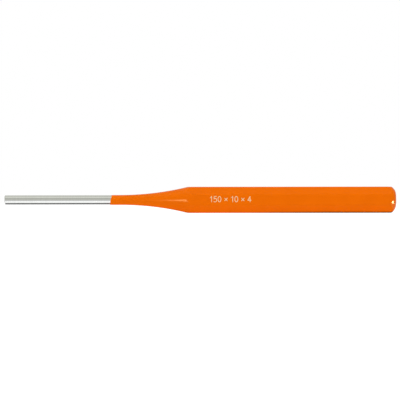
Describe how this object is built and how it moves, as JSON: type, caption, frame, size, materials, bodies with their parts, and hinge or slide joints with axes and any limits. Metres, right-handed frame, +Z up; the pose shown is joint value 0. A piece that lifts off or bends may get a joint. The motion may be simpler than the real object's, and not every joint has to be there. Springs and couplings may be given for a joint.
{
  "type": "pin punch",
  "caption": "Parallel pin punch: ground round pin, flared neck, octagonal coated shank and round-edged striking head. Drives out pins and rivets.",
  "frame": {"origin": "on the surface the tool lies on, under the middle of its length", "axes": "+X along the tool from the tip to the striking face, +Z up and square to the flat it lies on, -Y square to the flat that carries the size mark"},
  "size_m": [0.15, 0.01, 0.01],
  "materials": {
    "steel": "ground bright along the pin, fine lines round the axis",
    "coat": "semi-gloss orange coat, smooth, with a faint orange peel"
  },
  "bodies": {
    "root": {"punch_pin": "steel", "punch_shank": "steel", "handle_coat": "coat"}
  },
  "joints": []
}
